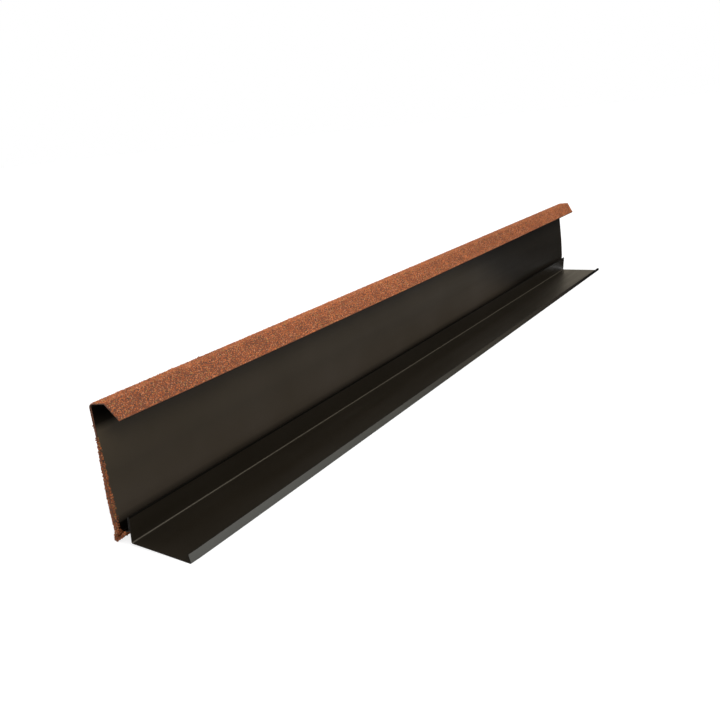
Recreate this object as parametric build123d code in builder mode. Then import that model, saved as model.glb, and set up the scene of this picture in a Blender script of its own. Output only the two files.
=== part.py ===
import os
from math import asin, atan2, cos, degrees, hypot, sin

from build123d import *

os.makedirs("parts", exist_ok=True)

# The bar and its two materials, in millimetres
bar_length = 1250.0
sheet_thickness = 0.5
coat_thickness = 2.0

# Flat widths between the folds, in the order in which the sheet runs
gutter_lip_flat = 7.8
gutter_floor_flat = 73.6
rib_front_flat = 25.7
rib_back_flat = 13.8
shelf_flat = 2.8
drip_return_flat = 19.6
drip_kick_flat = 6.8
web_flat = 126.0
top_flange_flat = 14.5
top_lip_flat = 20.7

# Leans and slopes of those strips, in degrees, with the gutter floor level
gutter_lip_lean = 11.0
rib_lean = 5.5
shelf_fall = 8.0
drip_return_fall = 40.0
drip_kick_lean = 35.0
web_lean = 0.4
top_flange_rise = 8.8
top_lip_fall = 38.1

# Inside radii of the folds, and the gap left inside the rib's hem
gutter_fold_radius = 1.0
shelf_fold_radius = 1.0
return_bend_radius = 2.5
drip_fold_radius = 0.4
kick_bend_radius = 4.0
top_bend_radius = 3.5
lip_fold_radius = 1.5
hem_gap = 1.0

# Bare painted margin on the drip's return, between the stone coat and the shelf
coat_margin = 1.5

# A fold that bends away from the drawn face has the sheet's thickness outside its inside radius
gutter_fold = gutter_fold_radius + sheet_thickness
shelf_fold = shelf_fold_radius + sheet_thickness
drip_fold = drip_fold_radius + sheet_thickness
top_bend = top_bend_radius + sheet_thickness
lip_fold = lip_fold_radius + sheet_thickness
hem_fold = hem_gap / 2

# Each strip of the sheet's stone-side face: flat width, direction, radius of the fold at its end,
# which is None where the next strip runs straight on or the sheet ends
rib_direction = 90 + rib_lean
lower_strips = [
    (gutter_lip_flat, -90 - gutter_lip_lean, gutter_fold),
    (gutter_floor_flat, 0, gutter_fold),
    (rib_front_flat, rib_direction, hem_fold),
    (rib_back_flat, rib_direction - 180, shelf_fold),
    (shelf_flat, -shelf_fall, return_bend_radius),
    (coat_margin, -drip_return_fall, None),
]
coated_strips = [
    (drip_return_flat - coat_margin, -drip_return_fall, drip_fold),
    (drip_kick_flat, 90 + drip_kick_lean, kick_bend_radius),
    (web_flat, 90 - web_lean, top_bend),
    (top_flange_flat, 180 - top_flange_rise, lip_fold),
    (top_lip_flat, 180 + top_lip_fall, None),
]


def draw_face(strips, start, depth):
    """Draws one face of the folded strips, end to end with a tangent arc at each fold.

    The stone side lies to the right of the strips, and depth is how far left of it the face is.
    Returns the face's start with the end of each strip, and the centres of its folds.
    """
    end = Vector(start) + Vector(depth, 0).rotate(Axis.Z, strips[0][1] + 90)
    strip_ends = [end]
    fold_centres = []
    for strip_index, (flat, direction, radius) in enumerate(strips):
        strip = PolarLine(end, flat, angle=direction)
        end = strip @ 1
        strip_ends.append(end)
        if radius is not None:
            turn = strips[strip_index + 1][1] - direction
            face_radius = radius - depth if turn > 0 else radius + depth
            fold = JernArc(end, strip % 1, face_radius, turn)
            fold_centres.append(fold.center_point)
            end = fold @ 1
    return strip_ends, fold_centres


def draw_layer(strips, start, near_depth, far_depth):
    """Draws the closed outline of the layer between two depths.

    Returns the strip ends and fold centres of the face at the near depth.
    """
    near_ends, fold_centres = draw_face(strips, start, near_depth)
    far_ends, _ = draw_face(strips, start, far_depth)
    Line(near_ends[0], far_ends[0])
    Line(near_ends[-1], far_ends[-1])
    return near_ends, fold_centres


# The end view of the sheet, from the gutter lip's free edge to the top lip's free edge
with BuildSketch() as sheet_section:
    with BuildLine():
        strip_ends, fold_centres = draw_layer(lower_strips + coated_strips, (0, 0), 0, sheet_thickness)
    make_face()

# The end view of the stone coat, on the same face from the drip's return to the lip's free edge
coat_start = strip_ends[len(lower_strips)]
with BuildSketch() as coat_section:
    with BuildLine():
        draw_layer(coated_strips, coat_start, 0, -coat_thickness)
    make_face()

# Unheld, the bar stands on two lines: under the gutter's outer fold and under the drip's tip.
# The bare margin runs straight on into the return, so the drip's fold follows one fold fewer.
gutter_fold_centre = fold_centres[0]
drip_fold_centre = fold_centres[len(lower_strips) - 1]
drip_outer_radius = drip_fold + coat_thickness
stance = drip_fold_centre - gutter_fold_centre
stance_slope = atan2(stance.Y, stance.X)
tangent_slope = asin((drip_outer_radius - gutter_fold) / hypot(stance.X, stance.Y))
rest_tilt = tangent_slope - stance_slope

# The end view stands on level ground, centred over the origin
standing_view = Compound([sheet_section.sketch, coat_section.sketch]).rotate(Axis.Z, degrees(rest_tilt))
outline = standing_view.bounding_box()
end_plane = Plane(
    origin=(-bar_length / 2, -outline.center().X, -outline.min.Y),
    x_dir=(0, cos(rest_tilt), sin(rest_tilt)),
    z_dir=(1, 0, 0),
)

with BuildPart() as folded_sheet:
    with BuildSketch(end_plane):
        add(sheet_section.sketch)
    extrude(amount=bar_length)

with BuildPart() as stone_coat:
    with BuildSketch(end_plane):
        add(coat_section.sketch)
    extrude(amount=bar_length)

folded_sheet.part.label = "folded_sheet"
stone_coat.part.label = "stone_coat"
export_step(folded_sheet.part, "parts/folded_sheet.step")
export_step(stone_coat.part, "parts/stone_coat.step")
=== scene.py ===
from math import cos, pi, radians, sin

import bpy
import numpy as np
from mathutils import Matrix, Vector


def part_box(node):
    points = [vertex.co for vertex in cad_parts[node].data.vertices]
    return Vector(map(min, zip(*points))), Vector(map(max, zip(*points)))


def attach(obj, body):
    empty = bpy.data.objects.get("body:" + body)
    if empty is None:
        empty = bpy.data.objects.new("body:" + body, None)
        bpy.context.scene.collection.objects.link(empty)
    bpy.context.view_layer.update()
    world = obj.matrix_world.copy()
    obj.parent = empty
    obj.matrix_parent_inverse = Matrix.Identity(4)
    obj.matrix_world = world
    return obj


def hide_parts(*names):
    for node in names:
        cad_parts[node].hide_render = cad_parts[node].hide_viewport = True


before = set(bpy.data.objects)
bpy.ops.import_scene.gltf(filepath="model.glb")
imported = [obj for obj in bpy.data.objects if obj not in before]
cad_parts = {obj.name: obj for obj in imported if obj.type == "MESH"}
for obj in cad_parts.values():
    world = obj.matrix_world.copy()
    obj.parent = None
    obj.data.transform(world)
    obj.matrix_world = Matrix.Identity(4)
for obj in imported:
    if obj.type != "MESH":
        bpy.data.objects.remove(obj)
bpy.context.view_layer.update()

# Folded sheet: half-millimetre steel, painted dark brown-black on both sides before it is cut.
# A folding machine bends one strip along its whole length into the top lip, the barge face, the
# drip edge, the hemmed rib, the gutter floor and the gutter's outer lip.
bar_length = 1.25
near_end = -bar_length / 2
sheet_thickness = 0.0005
sheet_step = 0.008
station_count = 126
sheet_stations = np.linspace(near_end, -near_end, station_count)
sharp_edge_angle = radians(40)

# Each flat runs in the sheet's own order: name, width, direction in the end view, and the radius
# of the bend that follows it on the stone-coated side. The rib's crest and the barge face's foot
# are stretches of their own, because they carry painted shade.
gutter_side_flats = [
    ("gutter lip", 0.0078, -101.0, 0.0015),
    ("gutter floor", 0.0736, 0.0, 0.0015),
    ("rib front", 0.0247, 95.5, None),
    ("rib crest", 0.0010, 95.5, 0.0005),
    ("rib back", 0.0138, -84.5, 0.0015),
    ("shelf", 0.0028, -8.0, 0.0025),
    ("bare margin", 0.0015, -40.0, None),
]
barge_side_flats = [
    ("drip return", 0.0181, -40.0, 0.0009),
    ("drip kick", 0.0068, 125.0, 0.004),
    ("barge foot", 0.0078, 89.6, None),
    ("shelter edge", 0.0012, 89.6, None),
    ("barge face", 0.1170, 89.6, 0.004),
    ("top flange", 0.0145, 171.2, 0.002),
    ("top lip", 0.0207, 218.1, None),
]

# How far each wide flat leaves its plane, as thin sheet does after folding
flat_buckle = {
    "gutter floor": 0.00022,
    "barge face": 0.0003,
    "top lip": 0.00025,
    "gutter lip": 0.00018,
}
free_edged_flats = ("gutter lip", "top lip")

# How bright the painted highlight is along the bend that follows each flat, from 0 to 1
bend_highlight = {
    "gutter floor": 1.0,
    "gutter lip": 0.35,
    "drip kick": 0.3,
    "barge face": 0.3,
    "top flange": 0.3,
}
widest_bend_step = radians(15)
fewest_bend_steps = 4


def follow_face(flats, start, depth, flat_step):
    """Follows one face of the flats and bends in the end view.

    Returns, for each point: its place, the direction out of the stone-coated side, the distance
    along the stone-coated side, how much of the flat's buckle it takes, and its painted highlight.
    """
    places, outwards, distances, buckles, painted_highlights_and_rubs = [], [], [], [], []
    place = np.array(start, float)
    distance = 0.0

    def keep(at, heading, along, buckle, highlight):
        places.append(at.copy())
        outwards.append((sin(heading), -cos(heading)))
        distances.append(along)
        buckles.append(buckle)
        painted_highlights_and_rubs.append(highlight)

    heading = radians(flats[0][2])
    place = place + depth * np.array((-sin(heading), cos(heading)))
    for index, (name, width, direction, bend_radius) in enumerate(flats):
        heading = radians(direction)
        steps = max(1, round(width / flat_step))
        first = 0 if index == 0 else 1
        for step in range(first, steps + 1):
            share = step / steps
            if name not in free_edged_flats:
                lift = sin(pi * share)
            elif index == 0:
                lift = (1 - share) ** 2
            else:
                lift = share**2
            at = place + width * share * np.array((cos(heading), sin(heading)))
            keep(at, heading, distance + width * share, flat_buckle.get(name, 0.0) * lift, 0.0)
        place = places[-1].copy()
        distance += width
        if bend_radius is None:
            continue
        turn = radians(flats[index + 1][2] - direction)
        side = 1 if turn > 0 else -1
        face_radius = bend_radius - side * depth
        centre = place + side * face_radius * np.array((-sin(heading), cos(heading)))
        bend_steps = max(fewest_bend_steps, round(abs(turn) / widest_bend_step))
        for step in range(1, bend_steps + 1):
            share = step / bend_steps
            now = heading + turn * share
            at = centre + side * face_radius * np.array((sin(now), -cos(now)))
            # Painted highlight: a bend's faces are lit up in the paint, most at the bend's middle
            highlight = bend_highlight.get(name, 0.0) * sin(pi * share)
            keep(at, now, distance + abs(turn) * bend_radius * share, 0.0, highlight)
        place = places[-1].copy()
        distance += abs(turn) * bend_radius
    return [np.array(values) for values in (places, outwards, distances, buckles, painted_highlights_and_rubs)]


all_flats = gutter_side_flats + barge_side_flats
sheet_start = (0, 0)
sheet_face, sheet_outward, sheet_along, sheet_buckle, sheet_highlight = follow_face(
    all_flats, sheet_start, 0.0, sheet_step
)
sheet_back = follow_face(all_flats, sheet_start, sheet_thickness, sheet_step)[0]

# The coat's first edge is where the bare margin ends. Places round the sheet are distances from it.
margin_end = len(follow_face(gutter_side_flats, sheet_start, 0.0, sheet_step)[0]) - 1
coat_start = sheet_face[margin_end]
sheet_from_coat = sheet_along - sheet_along[margin_end]

# Unheld, the bar rests on the gutter's outer bend and the drip's tip, so the end view is turned
# a little and set where the model's solid sheet stands
rest_turn = radians(2.1014)
turned = np.array(((cos(rest_turn), -sin(rest_turn)), (sin(rest_turn), cos(rest_turn))))
both_faces = np.vstack((sheet_face, sheet_back)) @ turned.T
sheet_corner = np.array(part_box("folded_sheet")[0][1:])
end_view_shift = sheet_corner - both_faces.min(axis=0)


def stand(points):
    """Turns points of the end view to how the bar rests and sets them in the shared frame."""
    return points @ turned.T + end_view_shift


# Long shallow buckles of the sheet: each wave's length along the bar, where it starts and its share
buckle_waves = ((0.41, 0.7, 1.0), (0.23, 2.1, 0.6), (0.131, 4.0, 0.35))


def buckle_along(x):
    """Gives the sheet's buckles at each distance along the bar, from -1 to 1."""
    waves = sum(share * np.sin(2 * pi * x / length + start) for length, start, share in buckle_waves)
    return waves / sum(share for _, _, share in buckle_waves)


# The bar is thin enough to give under its own weight: towards the far end the gutter floor lies
# flatter, its lip sinks and the top lip hangs steeper. Each row is a place round the sheet, and
# how far the sheet has moved there at the far end, across and up.
far_end_give = np.array((
    (-0.1353, -0.0010, -0.0040),
    (-0.1275, 0.0, -0.0003),
    (-0.1249, 0.0, 0.0),
    (-0.0513, 0.0, -0.0024),
    (-0.0220, 0.0016, -0.0032),
    (-0.0057, 0.0, -0.0022),
    (0.0, -0.0010, -0.0016),
    (0.0185, -0.0020, 0.0),
    (0.0850, -0.0030, 0.0008),
    (0.1560, -0.0035, 0.0026),
    (0.1762, -0.0048, 0.0005),
    (0.1985, 0.0010, -0.0032),
))

# Over the last stretch the foot of the barge face is also pressed in towards the rib
far_end_press = np.array((
    (-0.0050, 0.0, 0.0),
    (0.0185, -0.0095, 0.0),
    (0.0500, -0.0104, 0.0),
    (0.0850, -0.0078, 0.0),
    (0.1560, -0.0005, 0.0),
    (0.1760, 0.0, 0.0),
))

# Behind the near end, the gutter's outer fold lies a little further out and the top fold higher
near_end_spread = np.array((
    (-0.1353, -0.0012, 0.0),
    (-0.1275, -0.0024, 0.0),
    (-0.1249, -0.0024, 0.0),
    (-0.0513, 0.0, 0.0),
    (0.1560, 0.0, 0.0004),
    (0.1762, 0.0, 0.0010),
    (0.1985, 0.0, 0.0),
))

# Between the bar's ends the top lip hangs steeper still
lip_sag = np.array(((0.1762, 0.0, 0.0), (0.1985, 0.0012, -0.0026)))


def read_off(table, place, column=1):
    """Reads a column of a table between its rows. The table's first column is the place."""
    return np.interp(place, table[:, 0], table[:, column])


def give(x, from_coat):
    """How far the sheet has moved, across and up, at places along the bar and round the sheet."""
    share = np.clip((x - near_end) / bar_length, 0, 1)
    moves = (
        (far_end_give, share**1.6),
        (far_end_press, share**6),
        (near_end_spread, share**0.3),
        (lip_sag, np.sin(pi * share**0.85)),
    )
    return np.column_stack([
        sum(amount * read_off(table, from_coat, column) for table, amount in moves) for column in (1, 2)
    ])


def sweep_layer(name, near_face, far_face, outward, buckle, from_coat, overhang=None):
    """Makes the closed mesh of one layer from its two faces, swept along the bar.

    Returns the mesh and, for each face of it, 0 on the far face, 1 on the near face and 2 where
    the layer is cut.
    """

    def out_and_back(values):
        return np.concatenate((values, values[::-1]))

    ring = np.vstack((stand(near_face), stand(far_face)[::-1]))
    count = len(ring)
    rings = len(sheet_stations)
    x = np.repeat(sheet_stations, count)
    if overhang is not None:
        x[:count] -= out_and_back(overhang)
        x[-count:] += out_and_back(overhang)
    lift = np.tile(out_and_back(buckle), rings) * buckle_along(x)
    yz = np.tile(ring, (rings, 1)) + np.tile(out_and_back(outward @ turned.T), (rings, 1)) * lift[:, None]
    yz = yz + give(x, np.tile(out_and_back(from_coat), rings))
    yz[:, 1] = np.maximum(yz[:, 1], 0.0)
    points = np.column_stack((x, yz))
    corner = np.arange(count)
    following = (corner + 1) % count
    quads = []
    for row in range(rings - 1):
        low, high = row * count, (row + 1) * count
        quads.append(np.column_stack((low + corner, high + corner, high + following, low + following)))
    wall = np.vstack(quads)
    half = count // 2
    first = np.arange(half - 1)
    near_cap = np.column_stack((first, first + 1, count - 2 - first, count - 1 - first))
    far_cap = near_cap[:, ::-1] + (rings - 1) * count
    faces = np.vstack((wall, near_cap, far_cap))
    mesh = bpy.data.meshes.new(name)
    mesh.from_pydata(points.tolist(), [], faces.tolist())
    mesh.validate()
    mesh.shade_smooth()
    mesh.set_sharp_from_angle(angle=sharp_edge_angle)
    round_the_ring = np.arange(len(wall)) % count
    side = np.full(len(faces), 2, np.int32)
    side[: len(wall)] = np.where(round_the_ring < half - 1, 1, 0)
    side[: len(wall)][(round_the_ring == half - 1) | (round_the_ring == count - 1)] = 2
    return mesh, side


def add_piece(name, mesh, node):
    """Adds a piece that rides on the bar and stands for one of the model's solids."""
    piece = bpy.data.objects.new(name, mesh)
    bpy.context.scene.collection.objects.link(piece)
    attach(piece, "root")
    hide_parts(node)


def new_finish(name):
    """Starts a material. Returns it, its node tree, its shader and the place on the piece."""
    finish = bpy.data.materials.new(name)
    finish.use_nodes = True
    tree = finish.node_tree
    return finish, tree, tree.nodes["Principled BSDF"], tree.nodes.new("ShaderNodeTexCoord").outputs["Object"]


def feed(tree, socket, value):
    """Gives a socket a plain value, or links another node's output to it."""
    if isinstance(value, bpy.types.NodeSocket):
        tree.links.new(value, socket)
    else:
        socket.default_value = value


def add_noise(tree, where, scale, detail, stretch=(1.0, 1.0, 1.0)):
    """Adds noise over the piece's own coordinates, stretched along the bar if wanted."""
    stretched = tree.nodes.new("ShaderNodeMapping")
    stretched.inputs["Scale"].default_value = stretch
    tree.links.new(where, stretched.inputs["Vector"])
    noise = tree.nodes.new("ShaderNodeTexNoise")
    noise.inputs["Scale"].default_value = scale
    noise.inputs["Detail"].default_value = detail
    tree.links.new(stretched.outputs["Vector"], noise.inputs["Vector"])
    return noise.outputs["Fac"]


def grade(tree, source, stops, interpolation="LINEAR"):
    """Turns a value into a colour by a ramp with the given places and linear colours."""
    ramp = tree.nodes.new("ShaderNodeValToRGB")
    ramp.color_ramp.interpolation = interpolation
    for end, (place, colour) in zip(ramp.color_ramp.elements, (stops[0], stops[-1])):
        end.position = place
        end.color = (*colour, 1)
    for place, colour in stops[1:-1]:
        stop = ramp.color_ramp.elements.new(place)
        stop.color = (*colour, 1)
    tree.links.new(source, ramp.inputs["Fac"])
    return ramp.outputs["Color"]


def fit_range(tree, source, old_range, new_range, interpolation="LINEAR"):
    """Maps one range of a value onto another and holds it at the ends."""
    fitted = tree.nodes.new("ShaderNodeMapRange")
    fitted.interpolation_type = interpolation
    tree.links.new(source, fitted.inputs["Value"])
    limit_names = ("From Min", "From Max", "To Min", "To Max")
    for limit_name, limit in zip(limit_names, (*old_range, *new_range)):
        feed(tree, fitted.inputs[limit_name], limit)
    return fitted.outputs["Result"]


def calculate(tree, operation, *values):
    """Works out one sum of other nodes' outputs and plain numbers."""
    result = tree.nodes.new("ShaderNodeMath")
    result.operation = operation
    for socket, value in zip(result.inputs, values):
        feed(tree, socket, value)
    return result.outputs["Value"]


def scale_colour(tree, colour, amount):
    """Makes a colour lighter or darker by the given amount."""
    scaled = tree.nodes.new("ShaderNodeVectorMath")
    scaled.operation = "SCALE"
    tree.links.new(colour, scaled.inputs[0])
    tree.links.new(amount, scaled.inputs["Scale"])
    return scaled.outputs["Vector"]


def mix_colours(tree, blend, share, first, second):
    """Mixes the second colour into the first one by the given share."""
    mixed = tree.nodes.new("ShaderNodeMix")
    mixed.data_type = "RGBA"
    mixed.blend_type = blend
    for socket_name, value in {"Factor": share, "A": first, "B": second}.items():
        feed(tree, mixed.inputs[socket_name], value)
    return mixed.outputs["Result"]


def split_axes(tree, where):
    """Gives the X, Y and Z of the place on the piece."""
    axes = tree.nodes.new("ShaderNodeSeparateXYZ")
    tree.links.new(where, axes.inputs["Vector"])
    return axes.outputs


# Painted light that changes along the bar does so between these two places on it
painted_light_stretch = (-0.6, 0.6)


def share_along(tree, where):
    """Gives how far along the bar a place lies, from 0 near the near end to 1 near the far end."""
    return fit_range(tree, split_axes(tree, where)["X"], painted_light_stretch, (0.0, 1.0))


# The share of its tone that paint keeps under the fullest painted shade
painted_shade_tone = 0.05


def read_painted_light(tree):
    """Reads the sheet's painted light, and how much of the paint's tone is kept under its painted shade."""
    attribute = tree.nodes.new("ShaderNodeAttribute")
    attribute.attribute_name = "painted_light"
    painted_light = attribute.outputs["Fac"]
    return painted_light, fit_range(tree, painted_light, (-1.0, 0.0), (painted_shade_tone, 1.0))


def set_surface(tree, shader, colour, roughness, gloss):
    """Gives the shader its colour, roughness and gloss."""
    surface = {"Base Color": colour, "Roughness": roughness, "Specular IOR Level": gloss}
    for socket_name, value in surface.items():
        feed(tree, shader.inputs[socket_name], value)


def roughen(tree, shader, height, strength, distance):
    """Gives the shader a fine relief."""
    relief = tree.nodes.new("ShaderNodeBump")
    relief.inputs["Strength"].default_value = strength
    relief.inputs["Distance"].default_value = distance
    tree.links.new(height, relief.inputs["Height"])
    tree.links.new(relief.outputs["Normal"], shader.inputs["Normal"])


# Coil paint: its tones, the tone of its painted highlight along bends, and its gloss. The barge
# side begins between two places across the bar. Painted light makes that side paler by its gain,
# up to a line that leans back twice as far as it rises, and fades out over the light's edge.
paint_tones = [(0.3, (0.0085, 0.0060, 0.0028)), (0.7, (0.0112, 0.0082, 0.0044))]
highlight_tone = (0.075, 0.064, 0.046, 1)
paint_gloss = 0.35
barge_side_edge = (0.0275, 0.0315)
painted_light_gain = 3.7
painted_light_slant = 2.0
painted_light_edge = (0.295, 0.47)


def coil_paint():
    """Satin coil paint, a little uneven in tone and sheen, with faint rubs along the sheet.

    The barge face's inner side has painted light: it is paler than the gutter, up to a slanting
    line in its far part, and most of all at its foot and under the lip. Bends carry a painted
    highlight, and what the lip and the rib shade carries painted shade, dark and dull.
    """
    finish, tree, shader, where = new_finish("back_paint")
    clouds = add_noise(tree, where, 9.0, 3.0)
    tone = grade(tree, clouds, paint_tones)
    axes = split_axes(tree, where)
    on_barge_side = fit_range(tree, axes["Y"], barge_side_edge, (0.0, 1.0))
    # Painted light: the barge side is lighter at its foot and under the lip, against the shade there
    painted_light_by_height = grade(tree, axes["Z"], [
        (0.03, (1.38, 1.5, 2.1)),
        (0.07, (1.0, 1.05, 1.28)),
        (0.118, (1.62, 1.64, 1.78)),
    ])
    lit_by_height = mix_colours(tree, "MULTIPLY", on_barge_side, tone, painted_light_by_height)
    # Painted light: the barge side is paler by its gain, up to a slanting line in its far part
    slanted = calculate(tree, "MULTIPLY_ADD", axes["Z"], painted_light_slant, axes["X"])
    painted_light_fade = fit_range(tree, slanted, painted_light_edge, (painted_light_gain, 1.0), "SMOOTHSTEP")
    painted_light_here = fit_range(tree, on_barge_side, (0.0, 1.0), (1.0, painted_light_fade))
    # Painted shade below 0 and painted highlight above 0, read from the sheet's attribute
    painted_light, painted_shade = read_painted_light(tree)
    lit_and_shaded = scale_colour(tree, lit_by_height, calculate(tree, "MULTIPLY", painted_light_here, painted_shade))
    # Painted highlight: along the bends the paint turns towards the highlight tone
    highlighted = mix_colours(tree, "MIX", painted_light, lit_and_shaded, highlight_tone)
    painted_highlights_and_rubs = add_noise(tree, where, 60.0, 4.0, (0.05, 1.0, 1.0))
    sheen = fit_range(tree, painted_highlights_and_rubs, (0.3, 0.7), (0.38, 0.48))
    # The gloss is dimmed along with the painted shade
    set_surface(tree, shader, highlighted, sheen, calculate(tree, "MULTIPLY", painted_shade, paint_gloss))
    orange_peel = add_noise(tree, where, 700.0, 2.0)
    roughen(tree, shader, orange_peel, strength=0.06, distance=0.0004)
    return finish


def primer():
    """Dull grey-brown primer on the stone's side, with painted light: paler towards the near end."""
    finish, tree, shader, where = new_finish("primer")
    # Painted light: the tone falls from pale at the near end to nearly black at the far end
    tone = grade(tree, share_along(tree, where), [
        (0.0, (0.108, 0.107, 0.097)),
        (0.25, (0.075, 0.073, 0.063)),
        (0.33, (0.067, 0.064, 0.054)),
        (0.45, (0.042, 0.037, 0.028)),
        (0.6, (0.034, 0.029, 0.021)),
        (0.8, (0.018, 0.014, 0.010)),
        (1.0, (0.002, 0.0015, 0.001)),
    ])
    clouds = add_noise(tree, where, 9.0, 3.0)
    cloudy = grade(tree, clouds, [(0.3, (0.9, 0.9, 0.9)), (0.7, (1.1, 1.1, 1.1))])
    # Painted shade darkens the primer under the lip and inside the hem
    _, painted_shade = read_painted_light(tree)
    shaded = scale_colour(tree, mix_colours(tree, "MULTIPLY", 1.0, tone, cloudy), painted_shade)
    set_surface(tree, shader, shaded, roughness=0.6, gloss=0.12)
    return finish


def sheared_steel():
    """The bare cut edge of the sheet, grey with a drag of paint over it."""
    finish, tree, shader, where = new_finish("sheared_steel")
    drag = add_noise(tree, where, 500.0, 3.0)
    tone = grade(tree, drag, [(0.35, (0.009, 0.007, 0.006)), (0.65, (0.032, 0.028, 0.024))])
    set_surface(tree, shader, tone, roughness=0.5, gloss=0.1)
    return finish


sheet_mesh, sheet_side = sweep_layer(
    "folded_steel", sheet_face, sheet_back, sheet_outward, sheet_buckle, sheet_from_coat
)

# Painted shade on both faces: the hem's tight bend, the drip channel behind it, and the stretch
# under the lip. Each row is a place round the sheet and how deep its painted shade is. The face
# that is hidden inside the hem is painted as shaded too.
painted_shade_places = np.array((
    (-0.0240, 0.0),
    (-0.0231, 0.85),
    (-0.0205, 0.9),
    (-0.0195, 0.0),
    (-0.0120, 0.0),
    (0.0, 1.0),
    (0.0378, 1.0),
    (0.0390, 0.7),
    (0.0460, 0.0),
    (0.1330, 0.0),
    (0.1395, 0.9),
    (0.1480, 1.0),
    (0.2100, 1.0),
))
hem_places = np.array(((-0.0380, 0.0), (-0.0369, 1.0), (-0.0077, 1.0), (-0.0057, 0.0)))
# Painted shade is taken away from the painted highlight along the bends
sheet_painted_light = sheet_highlight - read_off(painted_shade_places, sheet_from_coat)
hem_side_painted_light = np.maximum(sheet_painted_light - read_off(hem_places, sheet_from_coat), -1.0)
ring_painted_light = np.concatenate((hem_side_painted_light, sheet_painted_light[::-1]))
# Stored on the sheet's corners: painted highlight above 0, painted shade below 0
painted_light_values = sheet_mesh.attributes.new("painted_light", "FLOAT", "POINT")
painted_light_values.data.foreach_set("value", np.tile(ring_painted_light, len(sheet_stations)).astype(np.float32))

# In sweep_layer's order: the inner side, the side that takes the stone, and the cut edges
for sheet_finish in (coil_paint(), primer(), sheared_steel()):
    sheet_mesh.materials.append(sheet_finish)
sheet_mesh.polygons.foreach_set("material_index", sheet_side)
add_piece("folded_steel", sheet_mesh, "folded_sheet")

# Base coat: the thick red-brown acrylic that is sprayed on the sheet's outer side and holds the
# stone. It covers the drip's return, the drip, the barge face, the top flange and the lip, and
# stops just short of the lip's free edge.
base_coat_depth = 0.0009
coat_step = 0.004
lip_bare_margin = 0.0003
lip_name, lip_width, lip_direction, _ = barge_side_flats[-1]
coated_flats = barge_side_flats[:-1] + [(lip_name, lip_width - lip_bare_margin, lip_direction, None)]
coat_underside, coat_outward, coat_along, coat_buckle, _ = follow_face(
    coated_flats, coat_start, 0.0, coat_step
)
coat_top = follow_face(coated_flats, coat_start, -base_coat_depth, coat_step)[0]

# The coat breaks off unevenly where the bar is cut to length and stands a little past the steel,
# most of all on the lower half of the barge face. Each row is a place round the sheet and how far
# the coat stands out there.
overhang_places = np.array((
    (0.0, 0.0006),
    (0.0220, 0.0012),
    (0.0300, 0.0022),
    (0.0650, 0.0030),
    (0.1000, 0.0022),
    (0.1290, 0.0012),
    (0.1490, 0.0014),
    (0.1630, 0.0014),
    (0.1700, 0.0004),
    (0.2000, 0.0004),
))


def base_coat_finish():
    """Acrylic base coat, dull and a little uneven, darker than the stone that it holds."""
    finish, tree, shader, where = new_finish("base_coat")
    mottle = add_noise(tree, where, 900.0, 3.0)
    tone = grade(tree, mottle, [(0.3, (0.07, 0.025, 0.012)), (0.7, (0.18, 0.07, 0.035))])
    set_surface(tree, shader, tone, roughness=0.85, gloss=0.5)
    roughen(tree, shader, mottle, strength=0.5, distance=0.0006)
    return finish


coat_overhang = read_off(overhang_places, coat_along)
coat_mesh, _ = sweep_layer(
    "acrylic_base_coat", coat_top, coat_underside, coat_outward, coat_buckle, coat_along, coat_overhang
)
coat_mesh.materials.append(base_coat_finish())
add_piece("acrylic_base_coat", coat_mesh, "stone_coat")

# Stone granules: crushed and kiln-coloured stone, about a millimetre and a half across, dropped
# on the wet base coat and pressed in, so that each stands half out of it. They are laid here in
# five lengths of the bar, side by side.
granule_spacing = 0.00145
granule_slip = 0.42 * granule_spacing
granule_lengths = 5
granule_columns = int(bar_length / granule_spacing)
granule_pitch = bar_length / granule_columns

# How far each granule reaches, as a share of the spacing, how narrow it may be, how deep it is sunk
# and how high its crest stands, and how uneven its underside and crest are. A few granules are
# large and fewer still are lumps: their share, how many times wider they are and how much higher
# they stand.
granule_reach = (0.5, 0.78)
granule_squeeze = (0.7, 1.0)
granule_depth = 0.0006
granule_crest = (0.0001, 0.00062)
uneven_underside = 0.0002
uneven_crest = 0.00015
large_share, large_width, large_rise = 0.03, 1.3, 0.0002
lump_share, lump_width, lump_rise = 0.005, 1.7, 0.0007

# At the cut ends the stone breaks off raggedly where the coat stands out far, and reaches a little
# past the coat. No granule is centred nearer than this to the coat's first and last edge.
ragged_reach = 0.0012
ragged_overhang = 0.001
past_coat_end = 0.0003
first_edge_room = 0.0004
last_edge_room = 0.0009

# The granules' middles lie on a line in the coat, which is followed as one more face
granule_middle = 0.0012
middle_step = 0.0008
middle_places, middle_out, middle_from_coat, middle_buckle, _ = follow_face(
    coated_flats, coat_start, -granule_middle, middle_step
)
middle_steps = np.hypot(*np.diff(middle_places, axis=0).T)
middle_along = np.concatenate(([0.0], np.cumsum(middle_steps)))
coat_width = middle_along[-1]

# Kiln colours of the stone, each with where its share of the granules starts
stone_colours = [
    (0.0, (0.10, 0.052, 0.032)),
    (0.03, (0.31, 0.086, 0.031)),
    (0.28, (0.44, 0.123, 0.039)),
    (0.62, (0.58, 0.180, 0.056)),
    (0.84, (0.61, 0.255, 0.118)),
    (0.95, (0.46, 0.235, 0.072)),
]


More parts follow.
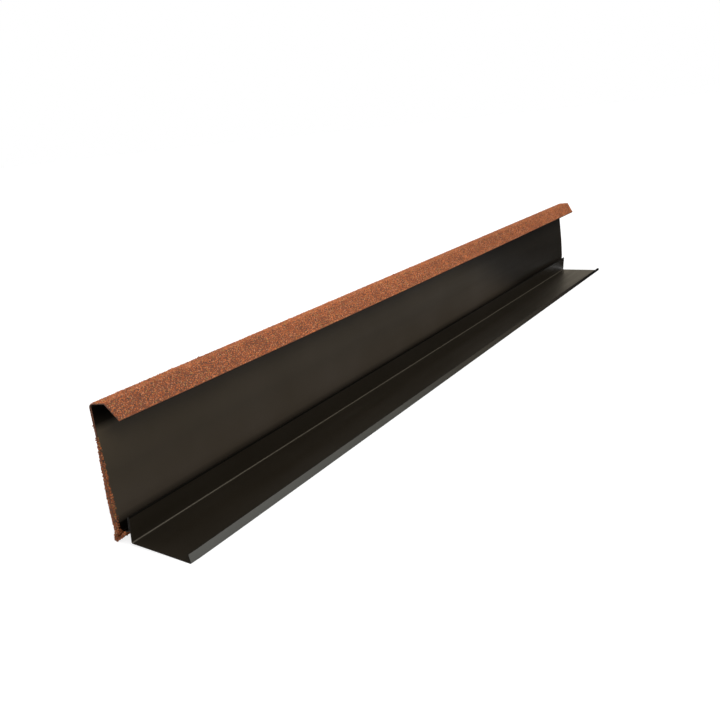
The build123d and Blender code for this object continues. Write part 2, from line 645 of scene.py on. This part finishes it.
def granule_finish():
    """Kiln-coloured stone: each granule has its own tone, dull all over, with a fine grain.

    The stone lies in faint drifts. As painted light, it is a little paler over the bar's near
    half than right at the near end and over the far half.
    """
    finish, tree, shader, where = new_finish("stone_granule")
    tone_of = tree.nodes.new("ShaderNodeAttribute")
    tone_of.attribute_name = "granule_tone"
    colour = grade(tree, tone_of.outputs["Fac"], stone_colours, "CONSTANT")
    grain = grade(
        tree, add_noise(tree, where, 2500.0, 2.0), [(0.3, (0.78, 0.76, 0.74)), (0.7, (1.0, 1.0, 1.0))]
    )
    drifts = grade(
        tree, add_noise(tree, where, 75.0, 3.0), [(0.32, (0.8, 0.78, 0.76)), (0.68, (1.11, 1.11, 1.11))]
    )
    # Painted light: paler over the near half, darker right at the near end and over the far half
    painted_light_along_bar = grade(tree, share_along(tree, where), [
        (0.07, (0.93, 0.93, 0.93)),
        (0.21, (1.07, 1.07, 1.07)),
        (0.4, (1.06, 1.06, 1.06)),
        (0.67, (0.9, 0.9, 0.9)),
    ])
    for variation in (grain, drifts, painted_light_along_bar):
        colour = mix_colours(tree, "MULTIPLY", 1.0, colour, variation)
    set_surface(tree, shader, colour, roughness=0.8, gloss=0.3)
    return finish


# Each granule has five corners sunk in the coat and two on its crest. Its seven faces name the
# sunk corners first and then the crest's.
sunk_corners = 5
crest_corners = 2
granule_corners = sunk_corners + crest_corners
granule_faces = np.array(((0, 1, 5), (1, 2, 5), (2, 3, 6), (3, 4, 6), (4, 0, 5), (2, 6, 5), (4, 5, 6)))


def shape_granules(count, random):
    """Shapes granules, each a little different.

    Returns how far each corner is from its granule's middle, in two ways over the coat and out.
    """
    sunk, crested = (count, sunk_corners), (count, crest_corners)
    reach = granule_spacing * random.uniform(*granule_reach, count)
    large = random.random(count) < large_share
    lump = random.random(count) < lump_share
    reach[large] *= large_width
    reach[lump] *= lump_width
    spin = random.uniform(0, 2 * pi, count)[:, None]
    squeeze = random.uniform(*granule_squeeze, count)[:, None]
    turns = np.arange(sunk_corners) * 2 * pi / sunk_corners + random.uniform(-0.3, 0.3, sunk)
    radii = reach[:, None] * random.uniform(0.8, 1.1, sunk)
    crest_turns = np.array((0.2 * pi, 1.2 * pi)) + random.uniform(-0.5, 0.5, crested)
    crest_radii = reach[:, None] * random.uniform(0.18, 0.5, crested)
    long_way = np.hstack((radii * np.cos(turns), crest_radii * np.cos(crest_turns)))
    short_way = np.hstack((radii * np.sin(turns), crest_radii * np.sin(crest_turns))) * squeeze
    crest = random.uniform(*granule_crest, count)
    crest[large] += large_rise
    crest[lump] += lump_rise
    height = np.hstack((
        np.full(sunk, -granule_depth) + random.uniform(0, uneven_underside, sunk),
        crest[:, None] + random.uniform(-uneven_crest, uneven_crest, crested),
    ))
    across = long_way * np.cos(spin) - short_way * np.sin(spin)
    upward = long_way * np.sin(spin) + short_way * np.cos(spin)
    return across, upward, height


def join_granules(name, corners, random):
    """Joins the granules into one mesh, with a tone for each. Returns the mesh and its triangles."""
    count = len(corners)
    first_corners = granule_corners * np.arange(count)
    triangles = (granule_faces[None] + first_corners[:, None, None]).reshape(-1, 3)
    mesh = bpy.data.meshes.new(name)
    mesh.vertices.add(granule_corners * count)
    mesh.vertices.foreach_set("co", corners.astype(np.float32).ravel())
    mesh.loops.add(triangles.size)
    mesh.loops.foreach_set("vertex_index", triangles.astype(np.int32).ravel())
    mesh.polygons.add(len(triangles))
    mesh.polygons.foreach_set("loop_start", np.arange(0, triangles.size, 3, dtype=np.int32))
    mesh.update(calc_edges=True)
    tone = mesh.attributes.new("granule_tone", "FLOAT", "POINT")
    tone.data.foreach_set("value", np.repeat(random.random(count), granule_corners).astype(np.float32))
    return mesh, triangles


def place_corners(centres, ways, shapes):
    """Sets each granule's corners round its centre, along three ways, and none below the floor."""
    corners = centres[:, None]
    for way, distance in zip(ways, shapes):
        corners = corners + distance[:, :, None] * way[:, None]
    corners[:, :, 2] = np.maximum(corners[:, :, 2], 0.0)
    return corners


def between(place, known_places, values):
    """Reads each column of values between the places where they are known."""
    return np.column_stack([np.interp(place, known_places, column) for column in values.T])


# Room round the stone in its flat map, along the bar and across
map_room_along = 0.003
map_room_across = 0.002


def lay_granules(name, first_column, last_column, random):
    """Presses one granule into each place of an uneven grid over the base coat.

    Every second row is set half a place further along the bar.
    """
    rows = int(coat_width / granule_spacing)
    column, row = np.meshgrid(np.arange(first_column, last_column), np.arange(rows))
    column, row = column.ravel(), row.ravel()
    count = len(column)
    x = near_end + (column + 0.25 + 0.5 * (row % 2)) * granule_pitch
    x = x + random.uniform(-granule_slip, granule_slip, count)
    along = (row + 0.5) * coat_width / rows + random.uniform(-granule_slip, granule_slip, count)
    overhang = read_off(overhang_places, np.interp(along, middle_along, middle_from_coat))
    ragged = random.uniform(0, ragged_reach, count) * (overhang > ragged_overhang)
    laid = np.abs(x) + near_end < overhang - ragged
    x, along = x[laid], np.clip(along[laid], first_edge_room, coat_width - last_edge_room)
    shapes = shape_granules(len(x), random)

    from_coat = np.interp(along, middle_along, middle_from_coat)
    out = between(along, middle_along, middle_out)
    out = (out / np.hypot(*out.T)[:, None]) @ turned.T
    lift = np.interp(along, middle_along, middle_buckle) * buckle_along(x)
    middle = stand(between(along, middle_along, middle_places)) + out * lift[:, None]
    centres = np.column_stack((x, middle + give(x, from_coat)))
    flat = np.zeros(len(x))
    along_bar = np.tile((1.0, 0.0, 0.0), (len(x), 1))
    beside = np.column_stack((flat, -out[:, 1], out[:, 0]))
    corners = place_corners(centres, (along_bar, beside, np.column_stack((flat, out))), shapes)
    coat_end = (read_off(overhang_places, from_coat) - near_end + past_coat_end)[:, None]
    corners[:, :, 0] = np.clip(corners[:, :, 0], -coat_end, coat_end)
    mesh, triangles = join_granules(name, corners, random)

    # The flat map unrolls this length of the coat
    map_start = near_end + first_column * granule_pitch - map_room_along
    map_end = near_end + last_column * granule_pitch + map_room_along
    map_u = (corners[:, :, 0].ravel() - map_start) / (map_end - map_start)
    map_v = ((along[:, None] + shapes[1]).ravel() + map_room_across) / (coat_width + 2 * map_room_across)
    flat_map = mesh.uv_layers.new(name="OFBake")
    unrolled = np.column_stack((map_u, map_v))[triangles.ravel()]
    flat_map.data.foreach_set("uv", unrolled.astype(np.float32).ravel())
    return mesh


stone = granule_finish()
column_edges = np.linspace(-2, granule_columns + 2, granule_lengths + 1).astype(int)
for number in range(granule_lengths):
    length_name = f"granules_{number + 1}"
    granules = lay_granules(
        length_name, column_edges[number], column_edges[number + 1], np.random.default_rng(40 + number)
    )
    granules.materials.append(stone)
    add_piece(length_name, granules, "stone_coat")

# Granules round the near cut end: the spray reaches over the steel's cut edge onto its inner
# side, so stone sticks there too, in a ragged band that is deepest in the drip and dies out
# below the top.
wrap_spacing = 0.0011
wrap_slip = 0.4 * wrap_spacing
coat_edge_depth = 0.0015
cut_edge_stand = 0.0003
inner_side_stand = 0.0001
wrap_first_room = 0.0006
wrap_last_room = 0.0004
shortest_wrap = 0.35

# Each row is a place round the sheet, how far in along the bar the stone reaches there, and how
# much of the cut edge it covers
wrap_places = np.array((
    (0.0, 0.0020, 1.0),
    (0.0060, 0.0080, 1.0),
    (0.0207, 0.0100, 1.0),
    (0.0275, 0.0080, 1.0),
    (0.0320, 0.0036, 1.0),
    (0.0650, 0.0032, 1.0),
    (0.1000, 0.0020, 0.9),
    (0.1200, 0.0012, 0.6),
    (0.1420, 0.0, 0.0),
    (0.2000, 0.0, 0.0),
))


def wrap_near_end(name, random):
    """Lays granules over the near cut edge and the inner side next to it."""
    rows = np.arange(-coat_edge_depth - sheet_thickness, wrap_places[:, 1].max(), wrap_spacing)
    columns = np.arange(wrap_first_room, middle_from_coat[-1] - wrap_last_room, wrap_spacing)
    inward, from_coat = [grid.ravel() for grid in np.meshgrid(rows, columns)]
    count = len(inward)
    inward = inward + random.uniform(-wrap_slip, wrap_slip, count)
    from_coat = from_coat + random.uniform(-wrap_slip, wrap_slip, count)
    covered = random.random(count) < read_off(wrap_places, from_coat, 2)
    reach = read_off(wrap_places, from_coat) * random.uniform(shortest_wrap, 1.0, count)
    laid = covered & (inward < reach)
    inward, from_coat = inward[laid], from_coat[laid]
    shapes = shape_granules(len(inward), random)

    on_cut = inward < 0
    stands_out = np.where(inward < -sheet_thickness, read_off(overhang_places, from_coat), cut_edge_stand)
    x = np.where(on_cut, -stands_out, inward) + near_end
    depth = sheet_thickness + np.where(on_cut, inward, inner_side_stand)
    out = between(from_coat, middle_from_coat, middle_out)
    out = out / np.hypot(*out.T)[:, None]
    middle = between(from_coat, middle_from_coat, middle_places)
    place = stand(middle - out * (depth + granule_middle)[:, None]) + give(x, from_coat)
    out = out @ turned.T
    lift = np.interp(from_coat, middle_from_coat, middle_buckle) * buckle_along(x)
    centres = np.column_stack((x, place + out * lift[:, None]))
    flat = np.zeros(len(x))
    along_bar = np.tile((1.0, 0.0, 0.0), (len(x), 1))
    outward = np.column_stack((flat, out))
    beside = np.column_stack((flat, -out[:, 1], out[:, 0]))
    first_way = np.where(on_cut[:, None], outward, along_bar)
    crest_way = np.where(on_cut[:, None], -along_bar, -outward)
    return join_granules(name, place_corners(centres, (first_way, beside, crest_way), shapes), random)[0]


end_granules = wrap_near_end("near_end_granules", np.random.default_rng(59))
end_granules.materials.append(stone)
add_piece("near_end_granules", end_granules, "stone_coat")

# Setting: a plain white floor and a white room round it. Both are bright white to the camera and
# in reflections, and throw a softer light on the bar, so that it keeps its shadows.
floor_reach = 60.0
floor_grey = 0.3
floor_glow = 0.8
room_level = 0.32


def seen_or_mirrored(tree):
    """Gives 1 to the camera and to reflections, and 0 to the light that falls on the bar."""
    ray = tree.nodes.new("ShaderNodeLightPath").outputs
    mirrored = calculate(tree, "MAXIMUM", ray["Is Glossy Ray"], ray["Is Transmission Ray"])
    return calculate(tree, "MAXIMUM", ray["Is Camera Ray"], mirrored)


def floor_finish():
    """Dull pale grey that glows up to white where it is seen or mirrored."""
    finish = bpy.data.materials.new("white_floor")
    finish.use_nodes = True
    tree = finish.node_tree
    tree.nodes.clear()
    dull = tree.nodes.new("ShaderNodeBsdfDiffuse")
    dull.inputs["Color"].default_value = (floor_grey, floor_grey, floor_grey, 1)
    bright = tree.nodes.new("ShaderNodeEmission")
    strength = calculate(tree, "MULTIPLY", seen_or_mirrored(tree), floor_glow)
    tree.links.new(strength, bright.inputs["Strength"])
    both = tree.nodes.new("ShaderNodeAddShader")
    tree.links.new(dull.outputs["BSDF"], both.inputs[0])
    tree.links.new(bright.outputs["Emission"], both.inputs[1])
    out = tree.nodes.new("ShaderNodeOutputMaterial")
    tree.links.new(both.outputs["Shader"], out.inputs["Surface"])
    return finish


floor_corners = [
    (floor_reach * right, floor_reach * back, 0) for right, back in ((-1, -1), (1, -1), (1, 1), (-1, 1))
]
floor_mesh = bpy.data.meshes.new("floor")
floor_mesh.from_pydata(floor_corners, [], [(0, 1, 2, 3)])
floor_mesh.materials.append(floor_finish())
floor = bpy.data.objects.new("floor", floor_mesh)
bpy.context.scene.collection.objects.link(floor)

world = bpy.data.worlds.new("white_room")
bpy.context.scene.world = world
world.use_nodes = True
world_tree = world.node_tree
background = world_tree.nodes["Background"]
background.inputs["Color"].default_value = (1, 1, 1, 1)
world_level = fit_range(world_tree, seen_or_mirrored(world_tree), (0.0, 1.0), (room_level, 1.0))
world_tree.links.new(world_level, background.inputs["Strength"])


def add_card(name, corners, level, tint=(1.0, 1.0, 1.0)):
    """Stands a plain card where only the paint's reflections see it, as in a photo studio."""
    finish = bpy.data.materials.new(name)
    finish.use_nodes = True
    tree = finish.node_tree
    tree.nodes.clear()
    glow = tree.nodes.new("ShaderNodeEmission")
    glow.inputs["Strength"].default_value = level
    glow.inputs["Color"].default_value = (*tint, 1)
    out = tree.nodes.new("ShaderNodeOutputMaterial")
    tree.links.new(glow.outputs["Emission"], out.inputs["Surface"])
    card_mesh = bpy.data.meshes.new(name)
    card_mesh.from_pydata(corners, [], [(0, 1, 2, 3)])
    card_mesh.materials.append(finish)
    card = bpy.data.objects.new(name, card_mesh)
    card.visible_camera = False
    card.visible_diffuse = False
    card.visible_transmission = False
    card.visible_shadow = False
    bpy.context.scene.collection.objects.link(card)


def lie_flat(along, across, height):
    """Gives the corners of a card that lies just over the floor, between two places each way."""
    near_x, far_x = along
    back_y, front_y = across
    return [
        (near_x, back_y, height),
        (near_x, front_y, height),
        (far_x, front_y, height),
        (far_x, back_y, height),
    ]


beside_gutter = -0.0505
add_card("front_card", lie_flat((-1.4, 0.64), (beside_gutter, -1.6), 0.0004), level=0.36)
add_card("lip_card", lie_flat((0.08, 0.9), (beside_gutter, -0.064), 0.0008), level=0.1)
add_card("far_floor_card", lie_flat((0.64, 2.2), (0.06, -1.6), 0.0004), level=0.04)
add_card("far_right_card", [(1.1, 0.02, 0), (0.5, -1.6, 0), (0.5, -1.6, 1.4), (1.1, 0.02, 1.4)], level=0.08)
far_left_corners = [(1.1, 0.02, 0), (1.1, 1.4, 0), (1.1, 1.4, 0.9), (1.1, 0.02, 0.9)]
add_card("far_left_card", far_left_corners, level=0.7, tint=(1.0, 0.9, 0.72))


def add_sun(name, comes_from, strength, spread):
    """Adds a soft lamp of even strength that shines from the given direction."""
    lamp = bpy.data.lights.new(name, "SUN")
    lamp.energy = strength
    lamp.angle = radians(spread)
    holder = bpy.data.objects.new(name, lamp)
    holder.rotation_euler = Vector(comes_from).to_track_quat("Z", "Y").to_euler()
    bpy.context.scene.collection.objects.link(holder)


add_sun("front_softbox", (-0.25, -0.75, 0.75), strength=2.3, spread=40)
add_sun("top_softbox", (0.2, 0.1, 1.0), strength=0.7, spread=60)
add_sun("back_softbox", (-0.15, 0.9, 0.25), strength=1.2, spread=50)

# Camera: at the near end, a little above the bar, looking along it towards the far end. Its place,
# aim, roll and lens were fitted to the real bar's long edges and end corners.
camera_place = Vector((-1.00819, -0.51109, 0.34670))
camera_aim = Vector((-0.33300, -0.04852, 0.06000))
camera_roll = radians(-6.125)
camera_data = bpy.data.cameras.new("camera")
camera_data.lens = 37.472
camera_data.sensor_width = 36.0
camera_data.shift_y = 0.04167
camera = bpy.data.objects.new("camera", camera_data)
looking = (camera_aim - camera_place).to_track_quat("-Z", "Y").to_matrix().to_4x4()
camera.matrix_world = Matrix.Translation(camera_place) @ looking @ Matrix.Rotation(camera_roll, 4, "Z")
bpy.context.scene.collection.objects.link(camera)
bpy.context.scene.camera = camera
bpy.context.scene.view_settings.view_transform = "Standard"
